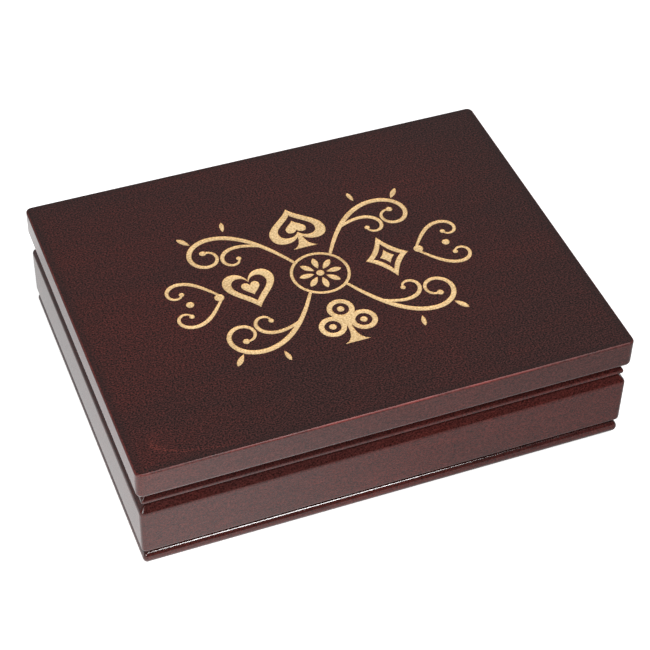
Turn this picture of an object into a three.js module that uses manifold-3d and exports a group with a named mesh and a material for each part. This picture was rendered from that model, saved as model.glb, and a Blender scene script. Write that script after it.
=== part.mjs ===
// Hinged wooden box for two decks of playing cards and a row of dice.
// Millimetres, +Z up, X along the long side, front at -Y, hinges at the back (+Y).
// The origin is on the underside, at the centre of the felt that the box stands on.

import * as THREE from "three";
import { mergeVertices } from "three/addons/utils/BufferGeometryUtils.js";
import Module from "manifold-3d";

const wasm = await Module();
wasm.setup();

// Overall plan of the lid slab, which overhangs everything below it
const slab_length = 171.5;
const slab_width = 133.4;
const plan_corner_radius = 2.2;
const least_corner_radius = 0.3;

// Stack of heights, from the table up
const foot_felt_thickness = 0.7;
const plinth_thickness = 6.3;
const wall_height = 21.45;
const rim_gap = 0.3;
const lid_rail_height = 4.8;
const slab_thickness = 11.45;

// Lid slab edge
const slab_top_radius = 0.8;
const slab_bottom_radius = 2.2;

// Lid rail moulding: a cove under the slab, a neck, then a bead at the rim with a sloping back
const cove_radius = 0.9;
const neck_inset = 3.1;
const bead_radius = 1.3;
const bead_inset = 1.6;
const bead_slope_degrees = 38;

// Base walls: a sloping shoulder at the rim, an upright face and a rounded lower edge
const wall_inset = 0.6;
const wall_thickness = 8.0;
const shoulder_drop = 3.65;
const shoulder_radius = 2.2;
const shoulder_slope_degrees = 42;
const wall_bottom_radius = 1.4;

// Plinth board: a short neck over a half-round nose
const plinth_neck_height = 1.2;
const plinth_inset = 0.8;

// Joinery
const glue_line = 0.02;
const fitting_gap = 0.3;
const cut_overrun = 5.0;

// Inside: two card wells with a dice channel between them
const dice_channel_width = 17.0;
const divider_thickness = 2.0;
const divider_height = 15.0;
const end_block_depth = 11.45;
const lining_thickness = 1.0;
const scoop_width = 26.0;
const scoop_depth = 8.0;
const thumb_width = 17.5;
const thumb_depth_share = 0.6;

// Lid pad and foot felt
const lid_pad_thickness = 3.0;
const lid_pad_edge_radius = 1.0;
const foot_felt_margin = 3.5;

// Brass butt hinges
const hinge_length = 25.0;
const hinge_from_end = 33.75;
const hinge_axis_inset = 2.4;
const barrel_radius = 1.3;
const pin_radius = 0.6;
const pin_head_radius = 0.95;
const pin_head_length = 0.5;
const leaf_reach = 5.6;
const leaf_thickness = 0.8;
const running_gap = 0.3;
const knuckle_gap = 0.3;
const screw_spacing = 17.0;
const screw_from_axis = 3.6;
const screw_head_radius = 1.3;
const screw_shank_radius = 0.7;
const screw_length = 4.2;
const screw_gap = 0.2;
const slot_width = 0.5;
const slot_depth = 0.35;

// Facets per quarter turn of each round form
const corner_steps = 7;
const edge_steps = 6;
const bead_steps = 7;
const shoulder_steps = 6;
const barrel_sides = 20;
const pin_sides = 12;
const screw_sides = 12;
const scoop_sides = 40;

// Heights worked out from the stack
const plinth_z = foot_felt_thickness;
const floor_z = plinth_z + plinth_thickness;
const rim_z = floor_z + wall_height;
const lid_rim_z = rim_z + rim_gap;
const slab_z = lid_rim_z + lid_rail_height;
const top_z = slab_z + slab_thickness;
const hinge_z = rim_z + rim_gap / 2;

// Plan sizes worked out from the slab
const half_length = slab_length / 2;
const half_width = slab_width / 2;
const inner_inset = wall_inset + wall_thickness;
const inner_half_length = half_length - inner_inset;
const inner_half_width = half_width - inner_inset;
const hinge_y = half_width - hinge_axis_inset;
const plinth_radius = (plinth_thickness - plinth_neck_height) / 2;
const dice_half_width = dice_channel_width / 2;
const well_left_edge = dice_half_width + divider_thickness;
const well_width = inner_half_length - well_left_edge;
const well_centre_x = well_left_edge + well_width / 2;
const well_length = 2 * (inner_half_width - end_block_depth);

// Materials
const rosewood = { color: 0x4b2b27, roughness: 0.32, metalness: 0.0 };
const inner_wood = { color: 0x45261f, roughness: 0.5, metalness: 0.0 };
const baize = { color: 0x1f3b2c, roughness: 0.95, metalness: 0.0 };
const brass = { color: 0xb8934a, roughness: 0.3, metalness: 1.0 };

// Quarter turns used by every arc
const quarter_turn = Math.PI / 2;
const quarter_degrees = 90;

// Points of one rounded rectangle, counter-clockwise, at a given inset from the slab's outline
function planLoop(inset, z, corner_radius = plan_corner_radius) {
  const half_x = half_length - inset;
  const half_y = half_width - inset;
  const radius = Math.max(corner_radius - inset, least_corner_radius);
  const corners = [
    [1, -1, 3],
    [1, 1, 0],
    [-1, 1, 1],
    [-1, -1, 2],
  ];
  const points = [];
  for (const [side_x, side_y, quarter] of corners) {
    for (let step = 0; step <= corner_steps; step += 1) {
      const angle = (quarter + step / corner_steps) * quarter_turn;
      const x = side_x * (half_x - radius) + radius * Math.cos(angle);
      const y = side_y * (half_y - radius) + radius * Math.sin(angle);
      points.push(new THREE.Vector3(x, y, z));
    }
  }
  return points;
}

// Closed solid through a stack of loops that run from the bottom up
function loftLoops(loops) {
  const count = loops[0].length;
  const positions = [];
  const indices = [];
  for (const loop of loops) {
    for (const point of loop) {
      positions.push(point.x, point.y, point.z);
    }
  }
  for (let level = 0; level < loops.length - 1; level += 1) {
    for (let k = 0; k < count; k += 1) {
      const next = (k + 1) % count;
      const low = level * count;
      const high = low + count;
      indices.push(low + k, low + next, high + next);
      indices.push(low + k, high + next, high + k);
    }
  }
  const last = (loops.length - 1) * count;
  for (let k = 1; k < count - 1; k += 1) {
    indices.push(0, k + 1, k);
    indices.push(last, last + k, last + k + 1);
  }
  const geometry = new THREE.BufferGeometry();
  geometry.setAttribute("position", new THREE.Float32BufferAttribute(positions, 3));
  geometry.setIndex(indices);
  return geometry;
}

// Moulded block: a profile of [inset, z] pairs, from the bottom up, run round the plan
function mouldedBlock(profile, corner_radius = plan_corner_radius) {
  return solid(loftLoops(profile.map(([inset, z]) => planLoop(inset, z, corner_radius))));
}

// Arc in the profile plane, from one angle to another, where angle 0 points outward
function profileArc(centre_inset, centre_z, radius, from_quarter, to_quarter, steps) {
  const points = [];
  for (let step = 0; step <= steps; step += 1) {
    const angle = (from_quarter + ((to_quarter - from_quarter) * step) / steps) * quarter_turn;
    points.push([centre_inset - radius * Math.cos(angle), centre_z + radius * Math.sin(angle)]);
  }
  return points;
}

// Geometry to solid, and solid to mesh
function solid(geometry) {
  const bare = geometry.clone();
  bare.deleteAttribute("normal");
  bare.deleteAttribute("uv");
  const merged = mergeVertices(bare);
  return new wasm.Manifold(new wasm.Mesh({
    numProp: 3,
    vertProperties: Float32Array.from(merged.attributes.position.array),
    triVerts: Uint32Array.from(merged.index.array),
  }));
}

function meshOf(name, body, look) {
  const data = body.getMesh();
  const geometry = new THREE.BufferGeometry();
  geometry.setAttribute("position", new THREE.Float32BufferAttribute(data.vertProperties, 3));
  geometry.setIndex(Array.from(data.triVerts));
  geometry.computeVertexNormals();
  const mesh = new THREE.Mesh(geometry, new THREE.MeshStandardMaterial(look));
  mesh.name = name;
  return mesh;
}

// Plain block between two corners
function block(low, high) {
  const geometry = new THREE.BoxGeometry(high[0] - low[0], high[1] - low[1], high[2] - low[2]);
  geometry.translate((low[0] + high[0]) / 2, (low[1] + high[1]) / 2, (low[2] + high[2]) / 2);
  return solid(geometry);
}

// Round bar along X, Y or Z, centred on a point
function bar(axis, radius, length, centre, sides) {
  const geometry = new THREE.CylinderGeometry(radius, radius, length, sides);
  if (axis === "x") {
    geometry.rotateZ(quarter_turn);
  }
  if (axis === "z") {
    geometry.rotateX(quarter_turn);
  }
  geometry.translate(centre[0], centre[1], centre[2]);
  return solid(geometry);
}

// Wedge that keeps one side of a mitred frame, set back by half a glue line on each mitre
function mitreWedge(side, low_z, high_z) {
  const across = side === "front" || side === "back";
  const long_half = across ? half_length : half_width;
  const short_half = across ? half_width : half_length;
  const depth = inner_inset + cut_overrun;
  const setback = glue_line * Math.SQRT1_2;
  const outline = new THREE.Shape();
  outline.moveTo(-long_half - cut_overrun + setback, -short_half - cut_overrun);
  outline.lineTo(long_half + cut_overrun - setback, -short_half - cut_overrun);
  outline.lineTo(long_half - depth - setback, -short_half + depth);
  outline.lineTo(-long_half + depth + setback, -short_half + depth);
  outline.closePath();
  const geometry = new THREE.ExtrudeGeometry(outline, {
    depth: high_z - low_z,
    bevelEnabled: false,
  });
  geometry.translate(0, 0, low_z);
  const quarters = { front: 0, right: 1, back: 2, left: 3 };
  geometry.rotateZ(quarters[side] * quarter_turn);
  return solid(geometry);
}

// Four mitred rails cut from one moulded frame
function mitredFrame(frame, low_z, high_z) {
  const rails = {};
  for (const side of ["front", "right", "back", "left"]) {
    rails[side] = frame.intersect(mitreWedge(side, low_z - cut_overrun, high_z + cut_overrun));
  }
  return rails;
}

// The hollow inside the walls, between two heights
function innerSpace(low_z, high_z) {
  return block(
    [-inner_half_length, -inner_half_width, low_z],
    [inner_half_length, inner_half_width, high_z],
  );
}

// Hinges: each one is placed by the x of its centre
const hinge_centres = [hinge_from_end - half_length, half_length - hinge_from_end];
const knuckle_length = (hinge_length - 2 * knuckle_gap) / 3;
const knuckle_step = knuckle_length + knuckle_gap;
const pocket_half_length = hinge_length / 2 + fitting_gap;
const groove_half_length = pocket_half_length + pin_head_length;
const leaf_inner_y = hinge_y - leaf_reach;

// What a hinge needs cut out of the wood: the leaf's seat and the barrel's groove
function hingePocket(centre_x, leaf_low_z, leaf_high_z) {
  const seat = block(
    [centre_x - pocket_half_length, leaf_inner_y - fitting_gap, leaf_low_z],
    [centre_x + pocket_half_length, hinge_y, leaf_high_z],
  );
  const groove = bar(
    "x",
    barrel_radius + fitting_gap,
    2 * groove_half_length,
    [centre_x, hinge_y, hinge_z],
    barrel_sides,
  );
  return seat.add(groove);
}

// Countersunk screw pointing down from its head face; a gap above zero gives the hole for it
function screwShape(head_z, gap) {
  const head = screw_head_radius + gap;
  const shank = screw_shank_radius + gap;
  const profile = [
    new THREE.Vector2(0, -screw_length - gap),
    new THREE.Vector2(shank / 2, -screw_length - gap),
    new THREE.Vector2(shank, -screw_length + screw_shank_radius),
    new THREE.Vector2(shank, -leaf_thickness),
    new THREE.Vector2(head, 0),
    new THREE.Vector2(0, 0),
  ];
  const geometry = new THREE.LatheGeometry(profile, screw_sides);
  geometry.rotateX(quarter_turn);
  geometry.translate(0, 0, head_z);
  return solid(geometry);
}

// The same shape at one of a hinge's screw places; side 1 points down, side -1 points up
function screwAt(centre_x, side_x, leaf_side, gap) {
  const x = centre_x + (side_x * screw_spacing) / 2;
  const y = hinge_y - screw_from_axis;
  const face_z = leaf_side * (rim_gap / 2);
  let body = screwShape(0, gap);
  if (leaf_side > 0) {
    body = body.rotate([180, 0, 0]);
  }
  return body.translate([x, y, hinge_z + face_z]);
}

function screwSlot(centre_x, side_x, leaf_side) {
  const x = centre_x + (side_x * screw_spacing) / 2;
  const y = hinge_y - screw_from_axis;
  const face_z = hinge_z + leaf_side * (rim_gap / 2);
  return block(
    [x - screw_head_radius - fitting_gap, y - slot_width / 2, face_z - slot_depth],
    [x + screw_head_radius + fitting_gap, y + slot_width / 2, face_z + slot_depth],
  );
}

// One leaf: a plate with its knuckles, bored for the pin and cleared of the other leaf's knuckles
function hingeLeaf(centre_x, leaf_side) {
  const near = leaf_side * (rim_gap / 2);
  const far = leaf_side * (rim_gap / 2 + leaf_thickness);
  let body = block(
    [centre_x - hinge_length / 2, leaf_inner_y, hinge_z + Math.min(near, far)],
    [centre_x + hinge_length / 2, hinge_y, hinge_z + Math.max(near, far)],
  );
  const own = leaf_side < 0 ? [-1, 1] : [0];
  const other = leaf_side < 0 ? [0] : [-1, 1];
  for (const step of other) {
    body = body.subtract(bar(
      "x",
      barrel_radius + running_gap,
      knuckle_length + 2 * knuckle_gap,
      [centre_x + step * knuckle_step, hinge_y, hinge_z],
      barrel_sides,
    ));
  }
  for (const step of own) {
    body = body.add(bar(
      "x",
      barrel_radius,
      knuckle_length,
      [centre_x + step * knuckle_step, hinge_y, hinge_z],
      barrel_sides,
    ));
  }
  body = body.subtract(bar(
    "x",
    pin_radius + running_gap,
    hinge_length + cut_overrun,
    [centre_x, hinge_y, hinge_z],
    pin_sides,
  ));
  for (const side_x of [-1, 1]) {
    body = body.subtract(screwAt(centre_x, side_x, leaf_side, screw_gap));
  }
  return body;
}

// Hinge pin with a small peened head outside each end knuckle
function hingePin(centre_x) {
  let body = bar("x", pin_radius, hinge_length, [centre_x, hinge_y, hinge_z], pin_sides);
  for (const end of [-1, 1]) {
    const head_x = centre_x + (end * (hinge_length + pin_head_length)) / 2;
    body = body.add(bar(
      "x",
      pin_head_radius,
      pin_head_length,
      [head_x, hinge_y, hinge_z],
      pin_sides,
    ));
  }
  return body;
}

const box = new THREE.Group();

// Lid slab: one board with rounded edges
const slab = mouldedBlock([
  ...profileArc(
    slab_bottom_radius,
    slab_z + slab_bottom_radius,
    slab_bottom_radius,
    -1,
    0,
    edge_steps,
  ),
  ...profileArc(slab_top_radius, top_z - slab_top_radius, slab_top_radius, 0, 1, edge_steps),
]);
box.add(meshOf("lid_panel", slab, rosewood));

// Where a straight slope from a point of a profile, square to an angle, reaches an inset
function slopeTo([inset, z], slope, far_inset) {
  return [far_inset, z + (far_inset - inset) / Math.tan(slope * quarter_turn)];
}

// Lid rails: the bead at the rim and its slope, then the neck and the cove up to the slab
const bead_centre_inset = bead_inset + bead_radius;
const bead_centre_z = lid_rim_z + bead_radius;
const cove_inset = neck_inset - cove_radius;
const coveArc = profileArc(cove_inset, slab_z - cove_radius, -cove_radius, 0, -1, edge_steps);
const bead_slope = bead_slope_degrees / quarter_degrees;
const beadArc = profileArc(bead_centre_inset, bead_centre_z, bead_radius, -1, bead_slope, bead_steps);
const bead_back = slopeTo(beadArc[bead_steps], bead_slope, neck_inset);
const lid_blank = mouldedBlock([...beadArc, bead_back, ...coveArc]);
let lid_frame = lid_blank.subtract(innerSpace(lid_rim_z - cut_overrun, slab_z + cut_overrun));
for (const centre_x of hinge_centres) {
  lid_frame = lid_frame.subtract(
    hingePocket(centre_x, lid_rim_z - cut_overrun, lid_rim_z + leaf_thickness),
  );
  for (const side_x of [-1, 1]) {
    lid_frame = lid_frame.subtract(screwAt(centre_x, side_x, 1, screw_gap));
  }
}
for (const [side, rail] of Object.entries(mitredFrame(lid_frame, lid_rim_z, slab_z))) {
  box.add(meshOf(`lid_rail_${side}`, rail, rosewood));
}

// Lid pad: baize over a thin pad, seated inside the rails against the slab
const pad_inset = inner_inset + fitting_gap;
const pad_low_z = slab_z - lid_pad_thickness;
const lid_pad = mouldedBlock([
  ...profileArc(
    pad_inset + lid_pad_edge_radius,
    pad_low_z + lid_pad_edge_radius,
    lid_pad_edge_radius,
    -1,
    0,
    edge_steps,
  ),
  [pad_inset, slab_z],
]);
box.add(meshOf("lid_pad", lid_pad, baize));

// Base walls: rounded lower edge, upright face and the sloping shoulder up to the rim
const upright_top_z = rim_z - shoulder_drop;
const shoulder_slope = shoulder_slope_degrees / quarter_degrees;
const shoulderArc = profileArc(
  wall_inset + shoulder_radius,
  upright_top_z,
  shoulder_radius,
  0,
  shoulder_slope,
  shoulder_steps,
);
const [slope_foot_inset, slope_foot_z] = shoulderArc[shoulder_steps];
const slope_reach = (rim_z - slope_foot_z) * Math.tan(shoulder_slope * quarter_turn);
const base_blank = mouldedBlock([
  ...profileArc(
    wall_inset + wall_bottom_radius,
    floor_z + wall_bottom_radius,
    wall_bottom_radius,
    -1,
    0,
    edge_steps,
  ),
  ...shoulderArc,
  [slope_foot_inset + slope_reach, rim_z],
]);
let base_frame = base_blank.subtract(innerSpace(floor_z - cut_overrun, rim_z + cut_overrun));
for (const centre_x of hinge_centres) {
  base_frame = base_frame.subtract(
    hingePocket(centre_x, rim_z - leaf_thickness, rim_z + cut_overrun),
  );
  for (const side_x of [-1, 1]) {
    base_frame = base_frame.subtract(screwAt(centre_x, side_x, -1, screw_gap));
  }
}
for (const [side, rail] of Object.entries(mitredFrame(base_frame, floor_z, rim_z))) {
  box.add(meshOf(`base_wall_${side}`, rail, rosewood));
}

// Plinth board: half-round nose below a short neck
const plinth = mouldedBlock([
  ...profileArc(
    plinth_inset + plinth_radius,
    plinth_z + plinth_radius,
    plinth_radius,
    -1,
    1,
    2 * bead_steps,
  ),
  [plinth_inset + plinth_radius, floor_z],
]);
box.add(meshOf("plinth_board", plinth, rosewood));

// Foot felt on the underside
const felt_inset = plinth_inset + plinth_radius + foot_felt_margin;
const foot_felt = mouldedBlock([
  [felt_inset, 0],
  [felt_inset, plinth_z],
], felt_inset + foot_felt_margin);
box.add(meshOf("foot_felt", foot_felt, baize));

// Radius of the round cut that is so wide and so deep at a face
function scoopRadius(width, depth) {
  return (depth * depth + (width * width) / 4) / (2 * depth);
}

// Dividers with a finger scoop in the top edge
const divider_top_z = floor_z + divider_height;
const scoop_radius = scoopRadius(scoop_width, scoop_depth);
const divider_half_y = inner_half_width - fitting_gap;
for (const [name, side] of [["left", -1], ["right", 1]]) {
  const centre_x = side * (dice_half_width + divider_thickness / 2);
  let divider = block(
    [centre_x - divider_thickness / 2, -divider_half_y, floor_z],
    [centre_x + divider_thickness / 2, divider_half_y, divider_top_z],
  );
  divider = divider.subtract(bar(
    "x",
    scoop_radius,
    divider_thickness + cut_overrun,
    [centre_x, 0, divider_top_z + scoop_radius - scoop_depth],
    scoop_sides,
  ));
  box.add(meshOf(`divider_${name}`, divider, inner_wood));
}

// End blocks of each card well, with a hollow for the thumb
const thumb_depth = thumb_depth_share * end_block_depth;
const thumb_radius = scoopRadius(thumb_width, thumb_depth);
for (const [name_x, side_x] of [["left", -1], ["right", 1]]) {
  for (const [name_y, side_y] of [["front", -1], ["back", 1]]) {
    const centre_x = side_x * well_centre_x;
    const half_block = well_width / 2 - fitting_gap;
    const face_y = side_y * (well_length / 2);
    const back_y = side_y * (inner_half_width - fitting_gap);
    let end_block = block(
      [centre_x - half_block, Math.min(face_y, back_y), floor_z],
      [centre_x + half_block, Math.max(face_y, back_y), divider_top_z],
    );
    end_block = end_block.subtract(bar(
      "z",
      thumb_radius,
      2 * divider_height,
      [centre_x, face_y - side_y * (thumb_radius - thumb_depth), divider_top_z],
      scoop_sides,
    ));
    box.add(meshOf(`end_block_${name_y}_${name_x}`, end_block, inner_wood));
  }
}

// Baize on the floor of each well and of the dice channel
for (const [name, side] of [["left", -1], ["right", 1]]) {
  const half_x = well_width / 2 - fitting_gap;
  const half_y = well_length / 2 - fitting_gap;
  const centre_x = side * well_centre_x;
  const lining = block(
    [centre_x - half_x, -half_y, floor_z],
    [centre_x + half_x, half_y, floor_z + lining_thickness],
  );
  box.add(meshOf(`well_lining_${name}`, lining, baize));
}
const channel_half_x = dice_half_width - fitting_gap;
const channel_lining = block(
  [-channel_half_x, -divider_half_y, floor_z],
  [channel_half_x, divider_half_y, floor_z + lining_thickness],
);
box.add(meshOf("dice_channel_lining", channel_lining, baize));

// Hinges with their pins and screws
const hinge_names = ["left", "right"];
hinge_centres.forEach((centre_x, k) => {
  const name = hinge_names[k];
  box.add(meshOf(`hinge_${name}_base_leaf`, hingeLeaf(centre_x, -1), brass));
  box.add(meshOf(`hinge_${name}_lid_leaf`, hingeLeaf(centre_x, 1), brass));
  box.add(meshOf(`hinge_${name}_pin`, hingePin(centre_x), brass));
  for (const [leaf, leaf_side] of [["base", -1], ["lid", 1]]) {
    [-1, 1].forEach((side_x, place) => {
      const screw = screwAt(centre_x, side_x, leaf_side, 0);
      const slotted = screw.subtract(screwSlot(centre_x, side_x, leaf_side));
      box.add(meshOf(`hinge_${name}_${leaf}_screw_${place + 1}`, slotted, brass));
    });
  }
});

export default box;
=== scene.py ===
# %% [markdown]
# A hinged wooden box for playing cards, dressed for its picture. The box itself comes from the
# construction model: every board, hinge and lining already has its real size and place. This
# script gives each surface its finish, models the soft pieces and the engraving, and sets up the
# floor, the lamps and the camera. All lengths in Blender are metres, so small sizes are written
# as millimetres and multiplied by MM.

# %% Load the construction model
import math

import bmesh
import bpy
from mathutils import Matrix, Vector
from mathutils.geometry import delaunay_2d_cdt


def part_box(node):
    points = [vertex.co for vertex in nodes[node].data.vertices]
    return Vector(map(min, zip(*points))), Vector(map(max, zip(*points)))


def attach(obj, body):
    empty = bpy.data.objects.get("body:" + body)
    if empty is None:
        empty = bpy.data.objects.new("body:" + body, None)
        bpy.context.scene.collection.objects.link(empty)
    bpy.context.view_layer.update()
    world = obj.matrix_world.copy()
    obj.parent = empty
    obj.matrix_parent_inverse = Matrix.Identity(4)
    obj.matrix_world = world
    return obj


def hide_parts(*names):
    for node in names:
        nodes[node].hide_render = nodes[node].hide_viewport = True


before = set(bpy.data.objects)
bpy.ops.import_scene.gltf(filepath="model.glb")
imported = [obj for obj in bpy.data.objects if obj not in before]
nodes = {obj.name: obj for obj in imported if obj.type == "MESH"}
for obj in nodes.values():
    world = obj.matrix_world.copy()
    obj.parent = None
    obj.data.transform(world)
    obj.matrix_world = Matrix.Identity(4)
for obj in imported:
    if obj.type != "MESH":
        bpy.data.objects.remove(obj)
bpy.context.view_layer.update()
MM = 0.001
lid_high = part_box("lid_panel")[1]
print(f"{len(nodes)} construction nodes, lid top at {lid_high.z / MM:.1f} mm")

# %% [markdown]
# The camera looks down on the box from the front left with a long lens. It could be placed by
# eye, but then nothing in the picture would lie where the photograph has it. So its place was
# worked out from the edges of the box in the photograph. It aims at a point on the lid's top and
# rolls a little, as a hand-held camera does.

# %% Camera
VIEW_AZIMUTH = math.radians(-22.001)
VIEW_ELEVATION = math.radians(44.153)
VIEW_ROLL = math.radians(1.406)
VIEW_DISTANCE = 629.0 * MM
AIM = Vector((-7.67 * MM, -24.33 * MM, lid_high.z))
LENS_MM = 105.45
CLIP_NEAR = 10 * MM
CLIP_FAR = 20.0
UP = Vector((0, 0, 1))


def looking(place, back, upright):
    """The place and turn of a camera or lamp whose back points one way."""
    right = upright.cross(back).normalized()
    axes = Matrix((right, back.cross(right), back)).transposed()
    return Matrix.Translation(place) @ axes.to_4x4()


def aim_camera():
    """A camera on a sphere round the aim point, turned to look at it."""
    back = Vector((
        math.sin(VIEW_AZIMUTH) * math.cos(VIEW_ELEVATION),
        -math.cos(VIEW_AZIMUTH) * math.cos(VIEW_ELEVATION),
        math.sin(VIEW_ELEVATION),
    ))
    level = looking(AIM + back * VIEW_DISTANCE, back, UP)
    camera = bpy.data.objects.new("camera", bpy.data.cameras.new("camera"))
    bpy.context.scene.collection.objects.link(camera)
    camera.matrix_world = level @ Matrix.Rotation(VIEW_ROLL, 4, "Z")
    camera.data.lens = LENS_MM
    camera.data.clip_start = CLIP_NEAR
    camera.data.clip_end = CLIP_FAR
    bpy.context.scene.camera = camera
    return camera


camera = aim_camera()
print(f"camera {camera.location.length:.2f} m from the box, lens {camera.data.lens} mm")

# %% [markdown]
# A finish is a web of shader nodes. Written out node by node it is hard to read, so three small
# classes let the maths be written as Python sums. Shade is the first: it holds one output of a
# node, and adding, subtracting, multiplying, dividing or raising it makes a Math node. Each
# operator has a reflected form too, so that 1 - mask works as well as mask - 1.


# %% Shade: one output of a node
def plug(tree, socket, value):
    """Puts a number, a colour or another node's output into a socket."""
    if isinstance(value, Shade):
        tree.links.new(value.socket, socket)
    else:
        socket.default_value = value


class Shade:
    """One output of a shader node, used like a number."""

    def __init__(self, tree, socket):
        self.tree = tree
        self.socket = socket

    def maths(self, operation, first, second):
        """A new Math node with two inputs."""
        node = self.tree.nodes.new("ShaderNodeMath")
        node.operation = operation
        plug(self.tree, node.inputs[0], first)
        plug(self.tree, node.inputs[1], second)
        return Shade(self.tree, node.outputs[0])

    def __add__(self, other):
        return self.maths("ADD", self, other)

    def __radd__(self, other):
        return self.maths("ADD", other, self)

    def __sub__(self, other):
        return self.maths("SUBTRACT", self, other)

    def __rsub__(self, other):
        return self.maths("SUBTRACT", other, self)

    def __mul__(self, other):
        return self.maths("MULTIPLY", self, other)

    def __rmul__(self, other):
        return self.maths("MULTIPLY", other, self)

    def __truediv__(self, other):
        return self.maths("DIVIDE", self, other)

    def __rtruediv__(self, other):
        return self.maths("DIVIDE", other, self)

    def __pow__(self, other):
        return self.maths("POWER", self, other)

    def __rpow__(self, other):
        return self.maths("POWER", other, self)


def blend(shades, shares):
    """Several outputs added up, each with its share."""
    first, *others = [shade * share for shade, share in zip(shades, shares)]
    return sum(others, first)


print("Shade turns sums into Math nodes")

# %% [markdown]
# Web makes every other node. Its colours go through Mix and Vector Math nodes, because a Math
# node would turn them grey. The helpers that ask where a point lies and which way it faces let
# one material change across a piece, so no piece needs to be cut up for its finish. Noise is
# measured in clouds per metre, so it has the same grain on a large board and on a small one.

# %% Web: all other nodes
# A Mix node has sockets of the same names for numbers, vectors and colours: these are the
# numbers of those for colours
MIX_SHARE, MIX_FIRST, MIX_SECOND, MIX_RESULT = 0, 6, 7, 2


class Web:
    """The nodes of one material or of the world."""

    def __init__(self, tree):
        self.tree = tree

    def node(self, kind, settings=None, sockets=None, output=0):
        """Any node: its settings first, then the values or links of its sockets."""
        node = self.tree.nodes.new(kind)
        for name, value in (settings or {}).items():
            setattr(node, name, value)
        for name, value in (sockets or {}).items():
            plug(self.tree, node.inputs[name], value)
        return Shade(self.tree, node.outputs[output])

    def mix(self, share, first, second):
        """A colour between two others."""
        return self.node("ShaderNodeMix", {"data_type": "RGBA"}, {
            MIX_SHARE: share,
            MIX_FIRST: first,
            MIX_SECOND: second,
        }, MIX_RESULT)

    def deepen(self, colour, share):
        """A colour made lighter or darker by a share."""
        return self.node("ShaderNodeVectorMath", {"operation": "SCALE"}, {
            0: colour,
            "Scale": share,
        })

    def parts(self, vector):
        """The three numbers of a vector."""
        first = self.node("ShaderNodeSeparateXYZ", None, {"Vector": vector})
        return [Shade(self.tree, socket) for socket in first.socket.node.outputs]

    def greater(self, first, second):
        """The greater of two numbers."""
        return self.node("ShaderNodeMath", {"operation": "MAXIMUM"}, {0: first, 1: second})

    def size(self, value):
        """A number without its sign."""
        return self.node("ShaderNodeMath", {"operation": "ABSOLUTE"}, {0: value})

    def here(self):
        """Where a point lies on its piece: x, y and z."""
        return self.parts(self.node("ShaderNodeTexCoord", output="Object"))

    def facing_up(self):
        """1 on a surface that faces up, 0 on an upright one and -1 on one that faces down."""
        return self.parts(self.node("ShaderNodeTexCoord", output="Normal"))[2]

    def noise(self, clouds, detail=3.0, roughness=0.5, distortion=0.0, turn=(0, 0, 0),
              move=(0, 0, 0)):
        """Noise round 0.5, with so many clouds per metre along each axis of the piece."""
        place = self.node("ShaderNodeMapping", None, {
            "Vector": self.node("ShaderNodeTexCoord", output="Object"),
            "Location": move,
            "Rotation": turn,
            "Scale": clouds,
        })
        return self.node("ShaderNodeTexNoise", None, {
            "Vector": place,
            "Scale": 1.0,
            "Detail": detail,
            "Roughness": roughness,
            "Distortion": distortion,
        })

    def clamp(self, value, low, high, new_low=0.0, new_high=1.0):
        """Stretches the range low to high over new_low to new_high, and stops there."""
        return self.node("ShaderNodeMapRange", {"clamp": True}, {
            "Value": value,
            "From Min": low,
            "From Max": high,
            "To Min": new_low,
            "To Max": new_high,
        })

    def bump(self, height, strength, distance):
        """Relief that is only shaded: the surface itself stays as it is."""
        return self.node("ShaderNodeBump", None, {
            "Height": height,
            "Strength": strength,
            "Distance": distance,
        })

    def ray(self, kind):
        """1 for light of one kind: Camera, Glossy or Transmission."""
        return self.node("ShaderNodeLightPath", output=f"Is {kind} Ray")

    def seen(self):
        """1 where the camera, a mirror or a glass looks, and 0 for plain light."""
        mirrored = self.greater(self.ray("Camera"), self.ray("Glossy"))
        return self.greater(mirrored, self.ray("Transmission"))


class Finish(Web):
    """One material: a Principled shader with its constants set, and the nodes that feed it."""

    def __init__(self, name, constants):
        self.material = bpy.data.materials.new(name)
        self.material.use_nodes = True
        super().__init__(self.material.node_tree)
        self.shader = self.tree.nodes["Principled BSDF"]
        for socket, value in constants.items():
            self.shader.inputs[socket].default_value = value

    def feed(self, socket, value):
        """Links one socket of the material's shader."""
        plug(self.tree, self.shader.inputs[socket], value)


print("Web and Finish ready")

# %% [markdown]
# The box is a plain hardwood, stained a deep red-brown and sprayed with lacquer. The stain hides
# most of the figure. What is left is a slow drift from red to brown, short flecks along the
# grain, and fine pores that hold the stain as dark specks. The flecks also dull the lacquer a
# little. Where sprayed lacquer gathers, it lies thicker and mirrors more, but never evenly. A
# picture of veneer could be wrapped round each board, but it would stretch over the mouldings
# and repeat. Noise runs through the board like real grain, so the finish is made of it.

# %% Lacquered wood
PER_METRE = 1000.0
LACQUER_SHINE = 0.36
LACQUER_IOR = 1.5
LACQUER_ROUGHNESS = 0.11
DULLEST_FLECK = 1.5
COAT_ROUGHNESS = 0.13
STAIN_BROWN = (0.0290, 0.0088, 0.0080, 1)
STAIN_RED = (0.0500, 0.0095, 0.0078, 1)
STAIN_LINE = (0.1150, 0.0230, 0.0170, 1)
# Noises: clouds per metre along, across and through the grain, detail, roughness, distortion
FLECKS = ((120, 850, 850), 3.0, 0.6)
PORES = ((1600, 2200, 2200), 2.0, 0.7)
CLOUD = ((16, 26, 26), 3.0, 0.55, 0.5)
FINE_CLOUD = ((150, 300, 300), 3.0, 0.6)
COAT_PATCHES = ((500, 900, 900), 2.0, 0.6)
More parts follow.
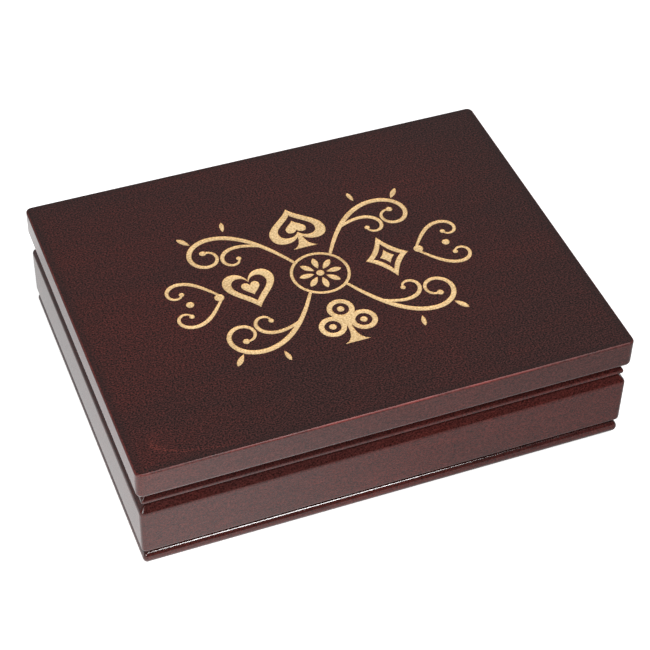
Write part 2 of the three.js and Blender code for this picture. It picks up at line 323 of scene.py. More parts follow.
# Ranges of noise, and what they turn into
NOISE_MIDDLE = 0.5
MOST_NOISE = (0.3, 0.7)
FINE_SHARE = 0.5
RED_RANGE = (0.25, 0.85)
PORE_RANGE = (0.36, 0.64)
PORE_TONES = (-0.9, 0.9)
FLECK_TONES = (0.90, 1.10)
PATCH_RANGE = (0.35, 0.65)
PATCH_WEIGHTS = (0.15, 0.8)
# Relief: shares of the flecks and the pores, then strength and height
RELIEF_SHARES = (0.4, 0.6)
WOOD_RELIEF = (0.20, 0.06 * MM)


class Wood(Finish):
    """Stained, lacquered wood whose grain runs along X, or along Y when turned."""

    def __init__(self, name, along_y=False, cut=(0, 0, 0), tone=1.0, rough=LACQUER_ROUGHNESS):
        super().__init__(name, {
            "Specular IOR Level": LACQUER_SHINE,
            "IOR": LACQUER_IOR,
            "Coat Roughness": COAT_ROUGHNESS,
        })
        self.turn = (0, 0, math.radians(90) if along_y else 0)
        self.cut = cut
        self.tone = tone
        self.rough = rough

    def grain(self, clouds, *quality):
        """Noise that lies along this board's grain, at its own place in the log."""
        return self.noise(clouds, *quality, turn=self.turn, move=self.cut)

    def thicken(self, facing, low, high):
        """A second coat of lacquer, a little uneven, on surfaces that face from low to high."""
        uneven = self.clamp(self.grain(*COAT_PATCHES), *PATCH_RANGE, *PATCH_WEIGHTS)
        self.feed("Coat Weight", self.clamp(facing, low, high) * uneven)

    def colour(self, red_drift, speckle, lines=None):
        """Base colour from the drift, the flecks, the pores and, on the lid, the ring lines."""
        flecks = self.grain(*FLECKS)
        pores = self.grain(*PORES)
        fine = (self.grain(*FINE_CLOUD) - NOISE_MIDDLE) * FINE_SHARE
        red = self.clamp(self.grain(*CLOUD) + fine + red_drift, *RED_RANGE)
        stain = self.mix(red, STAIN_BROWN, STAIN_RED)
        if lines is not None:
            stain = self.mix(lines, stain, STAIN_LINE)
        spots = self.clamp(pores, *PORE_RANGE, *PORE_TONES) * speckle
        light = self.clamp(flecks, *MOST_NOISE, *FLECK_TONES) * (1.0 + spots)
        dullest = DULLEST_FLECK * self.rough
        self.dullness = self.clamp(flecks, *MOST_NOISE, self.rough, dullest)
        self.feed("Roughness", self.dullness)
        relief = blend((flecks, pores), RELIEF_SHARES)
        self.feed("Normal", self.bump(relief, *WOOD_RELIEF))
        return self.deepen(stain, light * self.tone)


print(f"Wood ready, its finest pores {PER_METRE / max(PORES[0]):.2f} mm apart")

# %% [markdown]
# The lid's slab needs the most care, because the picture is mostly lid. Near its front left
# corner thin red lines show where growth rings run out of the board. They are worked out as a
# sawn board's are: the rings are tubes round the log's heart, and the board is a flat cut that
# leans a little against them. So the lines curve as real ones do, which drawn lines would not.
# The stain turns browner towards the front, the back and the right, and gathers in a dark band
# along the top's edges. The upright sides are painted lighter than the top, as painted light. The
# arrises are rubbed thin and show red, and that red line is partly a painted highlight.

# %% The lid's board
STAIN_DARK = (0.0160, 0.0080, 0.0075, 1)
# Red of the rubbed arris, which is partly a painted highlight
RUBBED_RED_AND_HIGHLIGHT = (0.2200, 0.0280, 0.0220, 1)
# The log: its heart lies forward of the lid's middle and below it, in millimetres
HEART_FORWARD = 55.0
HEART_DEPTH = 2.0
BOARD_LEAN = -0.16
RING_SPACING = 7.3
RING_WOBBLE = 16.0
WOBBLES = ((22, 60, 60), 3.0)
# One ring line: how it rises and falls within a ring, where it breaks off, and its strength
LINE_RISE = (0.90, 0.97)
LINE_FALL = (1.0, 0.975)
LINE_BREAKS = ((30, 55, 55), 2.0)
BREAK_RANGE = (0.45, 0.62)
LINE_STRENGTH = 0.45
# Bands of the lid, from none to full
FRONT_BAND = (-30 * MM, -46 * MM)
BACK_BAND = (30 * MM, 62 * MM)
LEFT_BAND = (-8 * MM, -30 * MM)
EDGE_BAND = (0.95, 0.99)
# How much less red the stain is: per metre to the right, at the front and at the back
BROWN_TO_RIGHT = 1.2
BROWN_AT_FRONT = 0.20
BROWN_AT_BACK = 0.16
# Surfaces by how far they face up
LEVEL = (0.2, 0.6)
UPRIGHT = (0.6, 0.2)
FLAT_TOP = (0.95, 0.999)
ARRIS_FOOT = (0.25, 0.55)
ARRIS_HEAD = (0.985, 0.90)
LID_SPECKLE = (0.6, 1.45)
# Painted light: the slab's upright sides are made this much lighter than its top
SIDE_PAINTED_LIGHT = 1.85
EDGE_STAIN = 0.6
# The rubbed arris, partly a painted highlight: its patches, and how it fades to the left and to
# the right
RUBS = ((140, 140, 140), 3.0)
RUB_RANGE = (0.3, 0.6)
RUB_TONES = (0.35, 1.0)
RUB_AND_HIGHLIGHT_LEFT = (-70 * MM, 0, 0.3, 0.8)
RUB_AND_HIGHLIGHT_RIGHT = (20 * MM, 70 * MM, 1.0, 0.4)
RUB_DULLNESS = 0.3
# Undersides and lower arrises, where lacquer runs to
UNDER_ARRIS = (-0.15, -0.45)


def ring_lines(wood, x, y, near_front):
    """Thin broken lines where growth rings run out of the board."""
    wobble = (wood.grain(*WOBBLES) - NOISE_MIDDLE) * RING_WOBBLE
    side = y * PER_METRE + HEART_FORWARD + wobble
    deep = x * BOARD_LEAN * PER_METRE + HEART_DEPTH
    ring = (side * side + deep * deep) ** 0.5 / RING_SPACING
    saw = wood.node("ShaderNodeMath", {"operation": "FRACT"}, {0: ring})
    line = wood.clamp(saw, *LINE_RISE) * wood.clamp(saw, *LINE_FALL)
    broken = wood.clamp(wood.grain(*LINE_BREAKS), *BREAK_RANGE)
    return line * broken * near_front * wood.clamp(x, *LEFT_BAND) * LINE_STRENGTH


def lid_board(name):
    """The lid's slab: rings, a dark edge band, painted side light, rubbed arrises partly a painted
    highlight.
    """
    wood = Wood(name)
    x, y, _ = wood.here()
    facing = wood.facing_up()
    near_front = wood.clamp(y, *FRONT_BAND)
    lines = ring_lines(wood, x, y, near_front)
    near_back = wood.clamp(y, *BACK_BAND)
    red_drift = x * -BROWN_TO_RIGHT - near_front * BROWN_AT_FRONT - near_back * BROWN_AT_BACK
    stained = wood.colour(red_drift, wood.clamp(facing, *LEVEL, *LID_SPECKLE), lines)
    edge = wood.greater(wood.size(x) / lid_high.x, wood.size(y) / lid_high.y)
    band = wood.clamp(edge, *EDGE_BAND) * EDGE_STAIN * wood.clamp(facing, *FLAT_TOP)
    edge_band_and_painted_shade = wood.mix(band, stained, STAIN_DARK)
    # Painted light: upright faces are lightened, standing in for the lamps that light them more
    # than the top
    painted_side_light = wood.deepen(edge_band_and_painted_shade, wood.clamp(facing, *UPRIGHT, 1.0, SIDE_PAINTED_LIGHT))
    arris = wood.clamp(facing, *ARRIS_FOOT) * wood.clamp(facing, *ARRIS_HEAD)
    worn = wood.clamp(wood.grain(*RUBS), *RUB_RANGE, *RUB_TONES)
    # Rubbed wear and a painted highlight on the arris, fading towards both ends
    rub_and_highlight = arris * worn * wood.clamp(x, *RUB_AND_HIGHLIGHT_LEFT) * wood.clamp(x, *RUB_AND_HIGHLIGHT_RIGHT)
    wood.feed("Base Color", wood.mix(rub_and_highlight, painted_side_light, RUBBED_RED_AND_HIGHLIGHT))
    wood.feed("Roughness", wood.dullness + arris * RUB_DULLNESS)
    wood.thicken(facing, *UNDER_ARRIS)
    return wood


lid_wood = lid_board("wood_lid")
print("lid board with", len(lid_wood.tree.nodes), "nodes")

# %% [markdown]
# The rails, walls and plinth are long straight boards. Their colour is lightened, which is painted
# light on their upright faces, and the level parts of their mouldings are darker, which is painted
# shade. Each kind is cut from another place in the log, so that no two look alike. They share one
# recipe, because a box is finished in one go. Two things differ: the plinth's nose is lacquered
# thickest on its top, where the spray lands, and the inside is a little darker and nearly matt.

# %% The straight boards
LONG_CUT = (3.3, 1.7, 0.4)
SHORT_CUT = (1.9, 4.1, 0.8)
INSIDE_CUT = (7.2, 2.6, 5.1)
# Painted light: the straight boards' colour is lightened for the light on their upright faces
RAIL_PAINTED_LIGHT = 1.45
RAIL_RED = 0.05
RAIL_SPECKLE = 0.65
# Painted shade: the level parts of the mouldings are darkened by this share
LEVEL_PAINTED_SHADE = 0.62
INSIDE_TONE = 1.20
INSIDE_ROUGHNESS = 0.40
NOSE_TOP = (0.3, 0.6)


def rail(name, along_y, cut, tone=RAIL_PAINTED_LIGHT, red=RAIL_RED, rough=LACQUER_ROUGHNESS,
         coated=UNDER_ARRIS):
    """Wood for a straight board."""
    wood = Wood(name, along_y, cut, tone, rough)
    facing = wood.facing_up()
    # Painted shade on level faces, below the painted light of the whole board
    edge_band_and_painted_shade = wood.clamp(wood.size(facing), *LEVEL, 1.0, LEVEL_PAINTED_SHADE)
    wood.feed("Base Color", wood.deepen(wood.colour(red, RAIL_SPECKLE), edge_band_and_painted_shade))
    wood.thicken(facing, *coated)
    return wood


def wear(objects, finish):
    """Gives pieces one material."""
    for thing in objects:
        thing.data.materials.clear()
        thing.data.materials.append(finish.material)


long_wood = rail("wood_long_rails", False, LONG_CUT)
nose_wood = rail("wood_nose", False, LONG_CUT, coated=NOSE_TOP)
short_wood = rail("wood_short_rails", True, SHORT_CUT)
inside_wood = rail("wood_inside", True, INSIDE_CUT, INSIDE_TONE, 0.0, INSIDE_ROUGHNESS)
long_boards = ["lid_rail_front", "lid_rail_back", "base_wall_front", "base_wall_back"]
short_boards = ["lid_rail_left", "lid_rail_right", "base_wall_left", "base_wall_right"]
inner_boards = ["divider_left", "divider_right"]
inner_boards += [f"end_block_{y}_{x}" for y in ("front", "back") for x in ("left", "right")]
wooden = (
    (["lid_panel"], lid_wood),
    (long_boards, long_wood),
    (["plinth_board"], nose_wood),
    (short_boards, short_wood),
    (inner_boards, inside_wood),
)
for names, finish in wooden:
    wear([nodes[name] for name in names], finish)
print("wood on", sum(len(names) for names, _ in wooden), "boards")

# %% [markdown]
# The lid carries an engraved ornament with a pale tan fill. It is the kind that card boxes have
# always had: the four suits round a rosette, with scrolls between them. It could be painted on
# as a picture, but outlines stay sharp at any size and can be cut into the wood. A suit is drawn
# one unit high, on its right side only, and mirrored.


# %% Draw the suits
ON_AXIS = 1e-6


def curve(start, pull_start, pull_end, end, steps=10):
    """Points along one Bezier curve, without its last point."""
    points = []
    for k in range(steps):
        t = k / steps
        shares = ((1 - t) ** 3, 3 * t * (1 - t) ** 2, 3 * t * t * (1 - t), t ** 3)
        ends = (start, pull_start, pull_end, end)
        points.append(tuple(sum(w * p[axis] for w, p in zip(shares, ends)) for axis in (0, 1)))
    return points


def both_sides(right_half):
    """Closes an outline that is drawn from its top to its foot on the right side only."""
    return right_half + [(-x, y) for x, y in reversed(right_half) if x > ON_AXIS]


def disc(centre, radius, steps=16):
    """A circle of short straight sides."""
    turns = [2 * math.pi * k / steps for k in range(steps)]
    return [(centre[0] + radius * math.cos(a), centre[1] + radius * math.sin(a)) for a in turns]


HEART = both_sides(
    curve((0, 0.27), (0.05, 0.42), (0.15, 0.50), (0.27, 0.50))
    + curve((0.27, 0.50), (0.40, 0.50), (0.50, 0.39), (0.50, 0.24))
    + curve((0.50, 0.24), (0.50, -0.02), (0.16, -0.22), (0, -0.50), 16)
    + [(0, -0.50)]
)
SPADE = both_sides(
    curve((0, 0.50), (0.12, 0.28), (0.48, 0.14), (0.48, -0.10), 16)
    + curve((0.48, -0.10), (0.48, -0.26), (0.38, -0.33), (0.26, -0.33))
    + curve((0.26, -0.33), (0.16, -0.33), (0.06, -0.28), (0, -0.16))
    + [(0, -0.16)]
)
FOOT = both_sides(
    [(0, -0.10), (0.035, -0.10)]
    + curve((0.04, -0.20), (0.05, -0.36), (0.10, -0.46), (0.22, -0.50))
    + [(0.22, -0.50), (0, -0.50)]
)
DIAMOND = both_sides(
    curve((0, 0.50), (0.10, 0.26), (0.22, 0.11), (0.37, 0))
    + curve((0.37, 0), (0.22, -0.11), (0.10, -0.26), (0, -0.50))
    + [(0, -0.50)]
)
PETAL = both_sides(curve((0, 0.5), (0.5, 0.30), (0.5, -0.1), (0, -0.5), 12) + [(0, -0.5)])
CLUB_LEAVES = ((0, 0.265), (0.262, -0.075), (-0.262, -0.075))
CLUB_MIDDLE = [(-0.12, 0.12), (0.12, 0.12), (0.14, -0.08), (0, -0.14), (-0.14, -0.08)]
suit_points = [len(suit) for suit in (HEART, SPADE, DIAMOND)]
print("suits drawn with", min(suit_points), "to", max(suit_points), "points")

# %% [markdown]
# A scroll is a stroke that bends tighter and tighter as it goes, like a pen flourish, and ends in
# a ball. Drawn by hand, its two edges would never run quite side by side. Here the stroke's
# middle is walked step by step, and its edges are set off to the left and the right. A leaf is a
# petal that points away from a centre. Both are drawn in the back right quarter of the lid and
# flipped into the others.

# %% Draw the scrolls and leaves
STROKE_STEPS = 60
ROOT_WIDTH = 0.35
ROOT_SWELL = 0.12
TIP_SWELL = 0.80
BALL_SIZE = 0.62


def scroll(start, heading, length, bends, width, power, flip):
    """A stroke and its ball. It is thin at its root and full in its middle."""
    x, y = start
    angle = math.radians(heading)
    step = length / STROKE_STEPS
    left, right = [], []
    for k in range(STROKE_STEPS + 1):
        t = k / STROKE_STEPS
        swell = math.sin(math.pi * min(1, ROOT_SWELL + TIP_SWELL * t))
        half = width / 2 * (ROOT_WIDTH + (1 - ROOT_WIDTH) * swell)
        across = (-math.sin(angle) * half, math.cos(angle) * half)
        left.append((flip[0] * (x + across[0]), flip[1] * (y + across[1])))
        right.append((flip[0] * (x - across[0]), flip[1] * (y - across[1])))
        angle += step * (bends[0] + (bends[1] - bends[0]) * t ** power)
        x += step * math.cos(angle)
        y += step * math.sin(angle)
    return [left + right[::-1], disc((flip[0] * x, flip[1] * y), BALL_SIZE * width)]


def leaf(centre, angle, near, far, width, flip=(1, 1)):
    """One leaf that points away from a centre."""
    c, s = math.cos(math.radians(angle)), math.sin(math.radians(angle))
    out = [(near + (far - near) * (y + 0.5), width * x) for x, y in PETAL]
    return [(
        flip[0] * (centre[0] + r * c - w * s),
        flip[1] * (centre[1] + r * s + w * c),
    ) for r, w in out]


def put(outline, centre, height):
    """Sizes and moves an outline that is one unit high."""
    return [(centre[0] + height * x, centre[1] + height * y) for x, y in outline]


print(f"scrolls have {2 * (STROKE_STEPS + 1)} points each")

# %% [markdown]
# The ornament is laid out in millimetres from the middle of the lid. Pockets are cut, islands are
# left standing inside them, and inlays are cut inside those. So every suit is a ring with a
# smaller suit in it.

# %% Lay out the ornament
SUIT_HEIGHT = 21.0
SUIT_REACH = 24.5
# Size and lift of each suit's pocket, island and inlay
SPADE_RINGS = ((1.0, 0.0), (0.66, 0.2), (0.36, 0.3))
HEART_RINGS = ((0.86, 0.0), (0.58, 0.5), (0.30, 0.6))
DIAMOND_RINGS = ((1.0, 0.0), (0.64, 0.0), (0.34, 0.0))
LEAF_RINGS = (0.225, 0.135, 0.06)
LEAF_STEPS = 24
ROSETTE_RINGS = (10.4, 9.3)
ROSETTE_STEPS = 56
ROSETTE_PETALS = 8
ROSETTE_PETAL = (2.2, 7.6, 2.9)
ROSETTE_MIDDLE = 1.4
# Each scroll's start, heading, length, first and last bend, width and power
SCROLLS = (
    ((6.6, 7.9), 61, 66, (-0.010, -0.33), 1.9, 2.2),
    ((13.9, 19.2), 28, 27, (-0.02, -0.46), 1.5, 1.6),
    ((36.0, 1.3), 52, 29, (0.0, -0.50), 1.5, 1.8),
)
# Each leaf's centre, heading, near and far end, and width
LEAVES = (
    ((37.0, 27.6), 52, 0.6, 6.4, 2.6),
    ((24.5, 30.6), 100, 0.4, 5.4, 2.2),
)
# Distance from the middle and radius of the dots on the long axis
DOTS = ((46.5, 1.4), (36.2, 1.7))
pocket_loops, island_loops, inlay_loops = [], [], []
layers = (pocket_loops, island_loops, inlay_loops)


def ringed(outline, centre, rings):
    """A suit inside a suit inside a suit."""
    for loops, (size, lift) in zip(layers, rings):
        loops.append(put(outline, (centre[0], centre[1] + lift), size * SUIT_HEIGHT))


def lay_out():
    """Fills the three lists with every outline of the ornament."""
    spade_at, club_at = (0, SUIT_REACH), (0, -SUIT_REACH)
    ringed(SPADE, spade_at, SPADE_RINGS)
    pocket_loops.append(put(FOOT, spade_at, SUIT_HEIGHT))
    ringed(HEART, (-SUIT_REACH, 0), HEART_RINGS)
    ringed(DIAMOND, (SUIT_REACH, 0), DIAMOND_RINGS)
    for centre in CLUB_LEAVES:
        for loops, radius in zip(layers, LEAF_RINGS):
            loops.append(put(disc(centre, radius, LEAF_STEPS), club_at, SUIT_HEIGHT))
    for outline in (CLUB_MIDDLE, FOOT):
        pocket_loops.append(put(outline, club_at, SUIT_HEIGHT))
    for loops, radius in zip(layers, ROSETTE_RINGS):
        loops.append(disc((0, 0), radius, ROSETTE_STEPS))
    for k in range(ROSETTE_PETALS):
        inlay_loops.append(leaf((0, 0), 360 / ROSETTE_PETALS * k, *ROSETTE_PETAL))
    inlay_loops.append(disc((0, 0), ROSETTE_MIDDLE))
    for side in (-1, 1):
        for end in (-1, 1):
            for stroke in SCROLLS:
                pocket_loops.extend(scroll(*stroke, (side, end)))
            for shape in LEAVES:
                pocket_loops.append(leaf(*shape, (side, end)))
        for away, radius in DOTS:
            pocket_loops.append(disc((side * away, 0), radius))


lay_out()
long_reach = max(abs(x) for loop in pocket_loops for x, y in loop)
short_reach = max(abs(y) for loop in pocket_loops for x, y in loop)
loop_count = sum(len(loops) for loops in layers)
print(f"ornament of {loop_count} loops, {2 * long_reach:.0f} by {2 * short_reach:.0f} mm")

# %% [markdown]
# An engraver's cut is rough, and its pale tan fill looks dry beside the lacquer: grainy, a little
# cloudy, and almost without shine. One material for the whole pocket is enough, because its walls
# are only a third of a millimetre high.

# %% The pockets' tan fill
FILL_DARK = (0.49, 0.320, 0.150, 1)
FILL_LIGHT = (0.88, 0.640, 0.345, 1)
FILL_GRAINS = ((1500, 1900, 1900), 3.0, 0.6)
FILL_CLOUDS = ((90, 140, 140), 2.0)
FILL_SHARES = (0.8, 0.2)
FILL_RANGE = (0.38, 0.62)
FILL_ROUGHNESS = (0.6, 0.8)
FILL_RELIEF = (0.3, 0.08 * MM)

engraving = Finish("engraved_fill", {"Specular IOR Level": 0.25})
grains = engraving.noise(*FILL_GRAINS)
grains_and_clouds = blend((grains, engraving.noise(*FILL_CLOUDS)), FILL_SHARES)
fill_tone = engraving.clamp(grains_and_clouds, *FILL_RANGE)
engraving.feed("Base Color", engraving.mix(fill_tone, FILL_DARK, FILL_LIGHT))
engraving.feed("Roughness", engraving.clamp(grains, *MOST_NOISE, *FILL_ROUGHNESS))
engraving.feed("Normal", engraving.bump(grains, *FILL_RELIEF))
print("tan fill with", len(engraving.tree.nodes), "nodes")

# %% [markdown]
# The ornament is cut into the lid for real, so that its edges catch the light. A Boolean modifier
# could do it, but with so many fine curves it easily leaves stray faces. Instead the lid's slab is
# copied from the construction model and its flat top is taken off. A new top is triangulated with
# every line of the drawing in it. First come the helpers: they find the rim of the hole, fill it
# with triangles, and say which triangles lie inside the drawing.

# %% Triangulate the new top
POINT_TOLERANCE = 1e-7
# The triangulation's output type that keeps only what lies inside a loop
INSIDE_LOOPS = 1
POCKETS, ISLANDS, INLAYS = 0, 1, 2


def turns_left(loop):
    """True if a loop runs anticlockwise, which the triangulation needs."""
    pairs = zip(loop, loop[1:] + loop[:1])
    return sum(a[0] * b[1] - b[0] * a[1] for a, b in pairs) > 0


def ordered_rim(edges):
    """The corners of a closed rim of edges, in order."""
    around = {}
    for edge in edges:
        a, b = edge.verts
        around.setdefault(a, []).append(b)
        around.setdefault(b, []).append(a)
    start = edges[0].verts[0]
    loop, before, here = [start], None, start
    while True:
        after = [v for v in around[here] if v is not before][0]
        if after is start:
            return loop
        loop.append(after)
        before, here = here, after


def triangulated(loops):
    """Points and triangles of a flat top that holds every loop, and which triangles are sunk."""
    loops = [loop if turns_left(loop) else loop[::-1] for loop in loops]
    places, faces = [], []
    for loop in loops:
        faces.append(list(range(len(places), len(places) + len(loop))))
        places += [Vector(point) for point in loop]
    points, _, triangles, _, _, origins = delaunay_2d_cdt(
        places, [], faces, INSIDE_LOOPS, POINT_TOLERANCE
    )
    # Face 0 is the whole top inside its rim, and the layers of the drawing come after it
    ranges, first = [], 1
    for layer in layers:
        ranges.append(range(first, first + len(layer)))
        first += len(layer)

    def inside(origin, layer):
        return any(face in ranges[layer] for face in origin)

    sunk = [
        inside(origin, INLAYS) or (inside(origin, POCKETS) and not inside(origin, ISLANDS))
        for origin in origins
    ]
    return points, triangles, sunk


print("the drawing brings", sum(len(loop) for layer in layers for loop in layer), "points")

# %% [markdown]
# Now the triangles inside the drawing are sunk by a third of a millimetre, and upright walls are
# put in where a sunk triangle meets one that stays up. The slab's moulded edge is kept as it was,
# so the engraved lid fits where the plain one did.

# %% Cut the ornament into the lid
POCKET_DEPTH = 0.32 * MM
WELD_DISTANCE = 0.002 * MM
LEVEL_TOLERANCE = 1e-6
BOARD, FILL = 0, 1


def build_top(bm, top, points, triangles, sunk):
    """The board's triangles at the top, the fill's a pocket deeper, and walls between them."""
    high = [bm.verts.new((p.x, p.y, top)) for p in points]
    low = {}
    sunk_edges = {}
    for triangle, is_sunk in zip(triangles, sunk):
        if not is_sunk:
            bm.faces.new([high[k] for k in triangle]).material_index = BOARD
            continue
        for k in triangle:
            if k not in low:
                low[k] = bm.verts.new((points[k].x, points[k].y, top - POCKET_DEPTH))
        bm.faces.new([low[k] for k in triangle]).material_index = FILL
        for a, b in zip(triangle, triangle[1:] + triangle[:1]):
            sunk_edges[a, b] = True
    for a, b in sunk_edges:
        if (b, a) not in sunk_edges:
            bm.faces.new([low[b], low[a], high[a], high[b]]).material_index = FILL


def engraved_lid():
    """A copy of the lid's slab with the ornament cut into its top."""
    mesh = nodes["lid_panel"].data.copy()
    mesh.materials.clear()
    mesh.materials.append(lid_wood.material)
    mesh.materials.append(engraving.material)
    bm = bmesh.new()
    bm.from_mesh(mesh)
    bmesh.ops.remove_doubles(bm, verts=bm.verts, dist=WELD_DISTANCE)
    top = lid_high.z
    flat = [f for f in bm.faces if all(abs(v.co.z - top) < LEVEL_TOLERANCE for v in f.verts)]
    flat_edges = {e for f in flat for e in f.edges}
    rim = [e for e in flat_edges if any(f not in flat for f in e.link_faces)]
    loops = [[(v.co.x, v.co.y) for v in ordered_rim(rim)]]
    bmesh.ops.delete(bm, geom=flat, context="FACES")
    loops += [[(x * MM, y * MM) for x, y in loop] for layer in layers for loop in layer]
    points, triangles, sunk = triangulated(loops)
    build_top(bm, top, points, triangles, sunk)
    bmesh.ops.remove_doubles(bm, verts=bm.verts, dist=WELD_DISTANCE)
    bmesh.ops.recalc_face_normals(bm, faces=bm.faces)
    bm.to_mesh(mesh)
    open_edges = len([e for e in bm.edges if len(e.link_faces) != 2])
    bm.free()
    piece = bpy.data.objects.new("lid_engraved", mesh)
    bpy.context.scene.collection.objects.link(piece)
    print(f"engraved lid: {len(mesh.polygons)} faces, {sum(sunk)} sunk, {open_edges} open edges")
    return piece


lid = engraved_lid()
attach(lid, "lid")
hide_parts("lid_panel")

# %% [markdown]
# The inside is lined with green baize, a short-piled wool cloth, and the box stands on pressed
# felt. Both are tangles of fine fibres, cloudy in tone, with a soft sheen at a low angle. Hairs
# could be grown on them, but a pile this short shows only as grain and sheen, and noise gives
# both at a fraction of the cost.

# %% Baize and felt finishes
BAIZE_DARK = (0.012, 0.040, 0.022, 1)
BAIZE_LIGHT = (0.030, 0.085, 0.050, 1)
FELT_DARK = (0.008, 0.022, 0.014, 1)
FELT_LIGHT = (0.020, 0.050, 0.032, 1)
WOOL_FIBRES = ((2600, 2600, 2600), 4.0, 0.7, 1.2)
WOOL_HAIRS = ((700, 4200, 1500), 3.0, 0.6, 0.8)
WOOL_CLOUDS = ((120, 120, 120), 2.0)
HAIR_TURN = (0, 0, 0.6)
# Shares of the fibres, the hairs and, in the tone, the clouds
TONE_SHARES = (0.45, 0.35, 0.2)
PILE_SHARES = (0.6, 0.4)
WOOL_RANGE = (0.36, 0.62)
WOOL_RELIEF = (0.5, 0.25 * MM)


def wool(name, dark, light):
    """Pressed wool: a tangle of fine fibres with a soft sheen."""
    cloth = Finish(name, {
        "Roughness": 0.95,
        "Specular IOR Level": 0.15,
        "Sheen Weight": 0.35,
        "Sheen Roughness": 0.5,
    })
    fibres = cloth.noise(*WOOL_FIBRES)
    hairs = cloth.noise(*WOOL_HAIRS, turn=HAIR_TURN)
    tone = blend((fibres, hairs, cloth.noise(*WOOL_CLOUDS)), TONE_SHARES)
    cloth.feed("Base Color", cloth.mix(cloth.clamp(tone, *WOOL_RANGE), dark, light))
    cloth.feed("Normal", cloth.bump(blend((fibres, hairs), PILE_SHARES), *WOOL_RELIEF))
    return cloth


baize = wool("green_baize", BAIZE_DARK, BAIZE_LIGHT)
felt = wool("foot_felt", FELT_DARK, FELT_LIGHT)
print("baize and felt with", len(baize.tree.nodes), "nodes each")

# %% [markdown]
# Each lining is one sheet laid on the floor of its well. It is modelled as a closed slab of cloth
# with a rolled edge and a surface that is not quite even, because glued cloth never lies dead
# flat. A flat sheet with a bump would do from above, but at its cut edge it would look like
# paper. The felt under the box is made in the same way, with its fuzzy face down.

# %% Model a slab of cloth
# Shares: where points lie across the rolled edge, and how thick the sheet is where it is cut
EDGE_STEPS = (0.0, 0.15, 0.4, 0.7, 1.0)
CUT_EDGE = 0.25
CLOTH_SPACING = 3.0 * MM
# Waves of the unevenness: radians per metre in x and y, and where the wave starts
RIPPLES = ((73, 41, 0.0), (-38, 97, 1.3))


def steps(low, high, edge, spacing):
    """Places along one side of a sheet: close together at its edges, even between them."""
    near = [edge * share for share in EDGE_STEPS]
    count = max(2, round((high - low - 2 * edge) / spacing))
    inner = [low + edge + (high - low - 2 * edge) * k / count for k in range(1, count)]
    return [low + n for n in near] + inner + [high - n for n in reversed(near)]


def ripple(x, y):
    """A slow unevenness between -1 and 1."""
    return sum(math.sin(a * x + b * y + c) for a, b, c in RIPPLES) / len(RIPPLES)


def cloth_slab(name, low, high, edge, height_at, upwards=True):
    """A closed slab of cloth with a flat glued face and a shaped outer face."""
    xs = steps(low.x, high.x, edge, CLOTH_SPACING)
    ys = steps(low.y, high.y, edge, CLOTH_SPACING)
    glued = low.z if upwards else high.z
    way = 1 if upwards else -1
    bm = bmesh.new()
    outer, under = {}, {}
    for i, x in enumerate(xs):
        for j, y in enumerate(ys):
            to_edge = min(x - low.x, high.x - x, y - low.y, high.y - y)
            roll = min(1.0, to_edge / edge)
            share = CUT_EDGE + (1 - CUT_EDGE) * math.sqrt(1 - (1 - roll) ** 2)
            px, py, rise = height_at(x, y, roll)
            outer[i, j] = bm.verts.new((px, py, glued + way * share * rise))
            under[i, j] = bm.verts.new((px, py, glued))
    for i in range(len(xs) - 1):
        for j in range(len(ys) - 1):
            ring = [(i, j), (i + 1, j), (i + 1, j + 1), (i, j + 1)]
            bm.faces.new([outer[k] for k in ring])
            bm.faces.new([under[k] for k in reversed(ring)])
    rim = [(i, 0) for i in range(len(xs))] + [(len(xs) - 1, j) for j in range(1, len(ys))]
    rim += [(i, len(ys) - 1) for i in reversed(range(len(xs) - 1))]
    rim += [(0, j) for j in reversed(range(1, len(ys) - 1))]
    for a, b in zip(rim, rim[1:] + rim[:1]):
        bm.faces.new([under[a], under[b], outer[b], outer[a]])
    bmesh.ops.recalc_face_normals(bm, faces=bm.faces)
    mesh = bpy.data.meshes.new(name)
    bm.to_mesh(mesh)
    bm.free()
    for face in mesh.polygons:
        face.use_smooth = True
    piece = bpy.data.objects.new(name, mesh)
    bpy.context.scene.collection.objects.link(piece)
    return piece


print(f"cloth slabs with a point every {CLOTH_SPACING / MM:.0f} mm")

# %% [markdown]
# The three linings and the foot felt are glued to the plinth board, so each is laid on it. Each
# takes the place of a plain stand-in from the construction model and fills the same room, so its
# flat size is simply the size of that stand-in.

# %% Lay the linings and the foot felt
CLOTH_EDGE = 0.9 * MM
# Shares of the stand-in's thickness: what the cloth fills on average, and how much it varies
CLOTH_FULL = 0.93
CLOTH_RIPPLE = 0.07


def lay_cloth(node, name, finish, upwards=True):
    """Replaces a lining of the construction model by a sheet of cloth."""
    low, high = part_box(node)
    thick = high.z - low.z

    def height_at(x, y, roll):
        return x, y, thick * (CLOTH_FULL + CLOTH_RIPPLE * ripple(x, y) * roll)

    piece = cloth_slab(name, low, high, CLOTH_EDGE, height_at, upwards)
    wear([piece], finish)
    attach(piece, "base")
    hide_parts(node)


for side in ("left", "right"):
    lay_cloth(f"well_lining_{side}", f"baize_well_{side}", baize)
lay_cloth("dice_channel_lining", "baize_dice_channel", baize)
lay_cloth("foot_felt", "felt_foot", felt, upwards=False)

# %% [markdown]
# Under the lid is a thin foam pad wrapped in the same baize, which keeps the cards from sliding.
# It is fullest in its middle, its sides pull in a little between the corners, and its edge is
# rounded where the cloth wraps round the foam. It is thin and glued flat, so its swell is worked
# out by a formula here. A cloth simulation would add nothing that shows.

# %% Make the lid pad
PAD_EDGE = 2.4 * MM
PAD_PULL = 0.7 * MM
# Shares of the stand-in's thickness: at the rim, added in the middle, and how much it varies
PAD_RIM = 0.72
PAD_CROWN = 0.25
PAD_RIPPLE = 0.02


